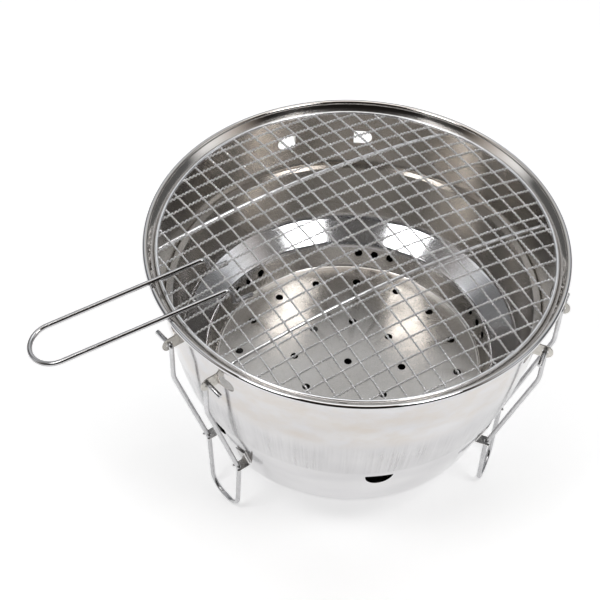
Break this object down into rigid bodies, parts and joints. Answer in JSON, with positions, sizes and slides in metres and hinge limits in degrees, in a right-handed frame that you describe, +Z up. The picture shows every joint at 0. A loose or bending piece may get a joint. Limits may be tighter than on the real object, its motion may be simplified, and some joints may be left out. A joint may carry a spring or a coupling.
{
  "type": "folding camp grill",
  "caption": "Round charcoal camp grill: deep steel bowl on fold-out wire legs, with a drop-in charcoal pan and a domed wire net that has a wire lifting handle.",
  "frame": {"origin": "centre of the flat underside of the bowl", "axes": "+Z up out of the bowl along its turning axis; +Y towards the middle of one leg; the lifting handle points mostly along -X"},
  "size_m": [0.4339, 0.3424, 0.2467],
  "materials": {
    "bowl": "satin brushed stainless sheet, rim bead polished",
    "ear": "cut sheet edge, satin",
    "clip": "satin sheet with brighter bend",
    "leg_wire": "drawn wire, satin",
    "pan": "pressed sheet, polished shoulder, satin walls and floor",
    "net_ring": "bright plated wire",
    "net_mesh": "bright plated crimped wire",
    "net_rod": "bright plated wire",
    "handle": "bright plated wire"
  },
  "bodies": {
    "bowl": {"bowl_shell": "bowl", "hinge_ear_1_left": "ear", "hinge_ear_1_right": "ear", "hinge_ear_2_left": "ear", "hinge_ear_2_right": "ear", "hinge_ear_3_left": "ear", "hinge_ear_3_right": "ear", "leg_clip_1_left": "clip", "leg_clip_1_right": "clip", "leg_clip_2_left": "clip", "leg_clip_2_right": "clip", "leg_clip_3_left": "clip", "leg_clip_3_right": "clip"},
    "pan": {"charcoal_pan": "pan"},
    "net": {"net_ring": "net_ring", "net_mesh": "net_mesh", "net_rod_1": "net_rod", "net_rod_2": "net_rod"},
    "handle": {"lifting_handle": "handle"},
    "leg_1": {"leg_wire_1": "leg_wire"},
    "leg_2": {"leg_wire_2": "leg_wire"},
    "leg_3": {"leg_wire_3": "leg_wire"}
  },
  "joints": [
    {"name": "leg_1_fold", "type": "hinge", "parent": "bowl", "child": "leg_1", "pos_m": [0, 0.166, 0.165], "axis": [1, 0, 0], "range_deg": [0, 165]},
    {"name": "leg_2_fold", "type": "hinge", "parent": "bowl", "child": "leg_2", "pos_m": [-0.14376, -0.083, 0.165], "axis": [-0.5, 0.866, 0], "range_deg": [0, 140]},
    {"name": "leg_3_fold", "type": "hinge", "parent": "bowl", "child": "leg_3", "pos_m": [0.14376, -0.083, 0.165], "axis": [-0.5, -0.866, 0], "range_deg": [0, 165]},
    {"name": "pan_lift", "type": "slide", "parent": "bowl", "child": "pan", "axis": [0, 0, 1], "range_m": [0, 0.2]},
    {"name": "net_lift", "type": "slide", "parent": "pan", "child": "net", "axis": [0, 0, 1], "range_m": [0, 0.15]},
    {"name": "handle_tip", "type": "hinge", "parent": "net", "child": "handle", "pos_m": [-0.11167, -0.03893, 0.1988], "axis": [-0.3907, 0.9205, 0], "range_deg": [0, 54]}
  ]
}
